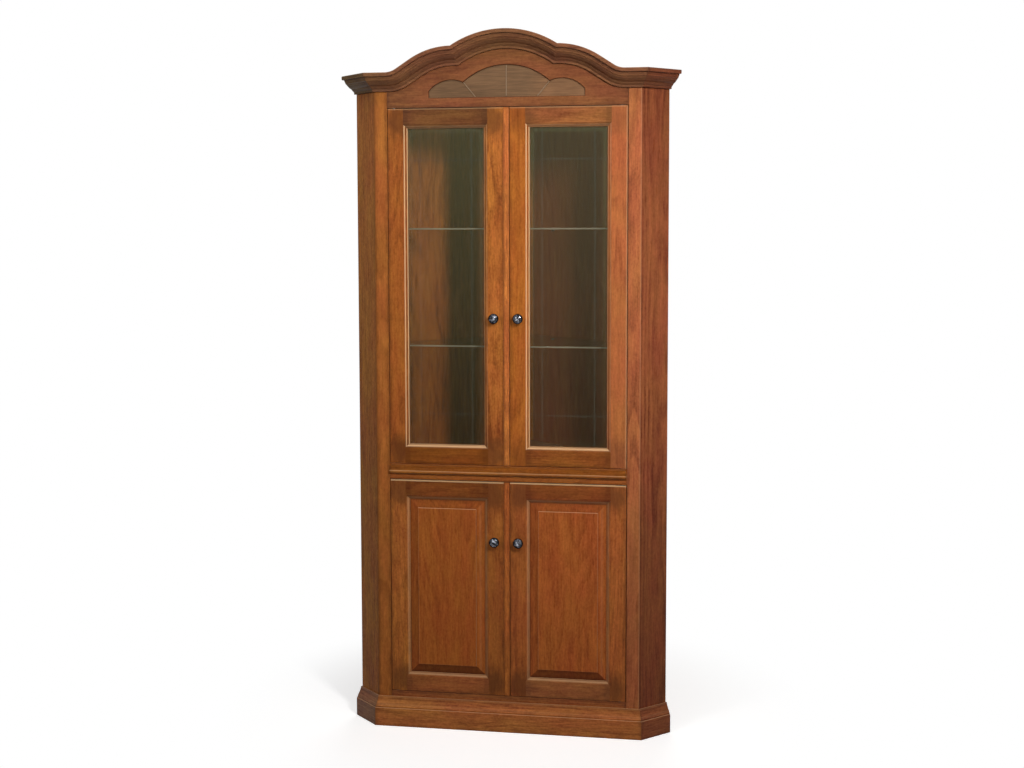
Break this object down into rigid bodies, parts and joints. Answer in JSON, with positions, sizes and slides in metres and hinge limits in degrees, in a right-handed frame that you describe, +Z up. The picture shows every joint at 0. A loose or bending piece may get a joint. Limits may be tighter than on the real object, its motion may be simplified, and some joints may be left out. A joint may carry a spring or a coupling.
{
  "type": "corner hutch",
  "caption": "Corner hutch of stained cherry with canted sides, glazed doors above panelled doors, a plinth and an arched three-lobed crown with a fan inlay.",
  "frame": {"origin": "on the floor, below the middle of the whole object's box", "axes": "+Z up; the front faces -Y; +X to the right when looking at the front"},
  "size_m": [1.0382, 0.6108, 2.134],
  "materials": {
    "cherry": "satin stained cherry",
    "cherry_dark": "satin dark stained cherry",
    "walnut": "grey-brown walnut inlay",
    "pane_glass": "clear, with cut lines",
    "shelf_glass": "clear, polished edges",
    "dark_bronze": "dark oil-rubbed",
    "steel": "zinc plated",
    "brown_plastic": "matt brown"
  },
  "bodies": {
    "cabinet": {"left_face_stile": "cherry", "right_face_stile": "cherry", "header_rail": "cherry", "waist_rail": "cherry", "bottom_rail": "cherry", "left_side_panel": "cherry_dark", "right_side_panel": "cherry_dark", "left_back_panel": "cherry_dark", "right_back_panel": "cherry_dark", "bottom_deck": "cherry_dark", "middle_deck": "cherry_dark", "top_deck": "cherry_dark", "wood_shelf_1": "cherry_dark", "glass_shelf_1": "shelf_glass", "glass_shelf_2": "shelf_glass", "front_crown": "cherry_dark", "left_crown_return": "cherry_dark", "right_crown_return": "cherry_dark", "fan_inlay": "walnut", "waist_moulding": "cherry", "front_plinth": "cherry", "left_plinth_return": "cherry_dark", "right_plinth_return": "cherry_dark", "upper_catch": "brown_plastic", "lower_catch": "brown_plastic"},
    "upper_left_door": {"upper_left_hinge_stile": "cherry", "upper_left_meeting_stile": "cherry", "upper_left_top_rail": "cherry", "upper_left_bottom_rail": "cherry", "upper_left_glass": "pane_glass", "upper_left_astragal": "cherry", "upper_left_knob": "dark_bronze", "upper_left_top_pivot": "steel", "upper_left_bottom_pivot": "steel"},
    "upper_right_door": {"upper_right_hinge_stile": "cherry", "upper_right_meeting_stile": "cherry", "upper_right_top_rail": "cherry", "upper_right_bottom_rail": "cherry", "upper_right_glass": "pane_glass", "upper_right_knob": "dark_bronze", "upper_right_top_pivot": "steel", "upper_right_bottom_pivot": "steel"},
    "lower_left_door": {"lower_left_hinge_stile": "cherry", "lower_left_meeting_stile": "cherry", "lower_left_top_rail": "cherry", "lower_left_bottom_rail": "cherry", "lower_left_panel": "cherry", "lower_left_astragal": "cherry", "lower_left_knob": "dark_bronze", "lower_left_top_pivot": "steel", "lower_left_bottom_pivot": "steel"},
    "lower_right_door": {"lower_right_hinge_stile": "cherry", "lower_right_meeting_stile": "cherry", "lower_right_top_rail": "cherry", "lower_right_bottom_rail": "cherry", "lower_right_panel": "cherry", "lower_right_knob": "dark_bronze", "lower_right_top_pivot": "steel", "lower_right_bottom_pivot": "steel"}
  },
  "joints": [
    {"name": "upper_left_hinge", "type": "hinge", "parent": "cabinet", "child": "upper_left_door", "pos_m": [-0.346, -0.24637, 0.826], "axis": [0, 0, -1], "range_deg": [0, 110]},
    {"name": "upper_right_hinge", "type": "hinge", "parent": "cabinet", "child": "upper_right_door", "pos_m": [0.346, -0.24637, 0.826], "axis": [0, 0, 1], "range_deg": [0, 110]},
    {"name": "lower_left_hinge", "type": "hinge", "parent": "cabinet", "child": "lower_left_door", "pos_m": [-0.346, -0.24637, 0.1098], "axis": [0, 0, -1], "range_deg": [0, 110]},
    {"name": "lower_right_hinge", "type": "hinge", "parent": "cabinet", "child": "lower_right_door", "pos_m": [0.346, -0.24637, 0.1098], "axis": [0, 0, 1], "range_deg": [0, 110]}
  ]
}
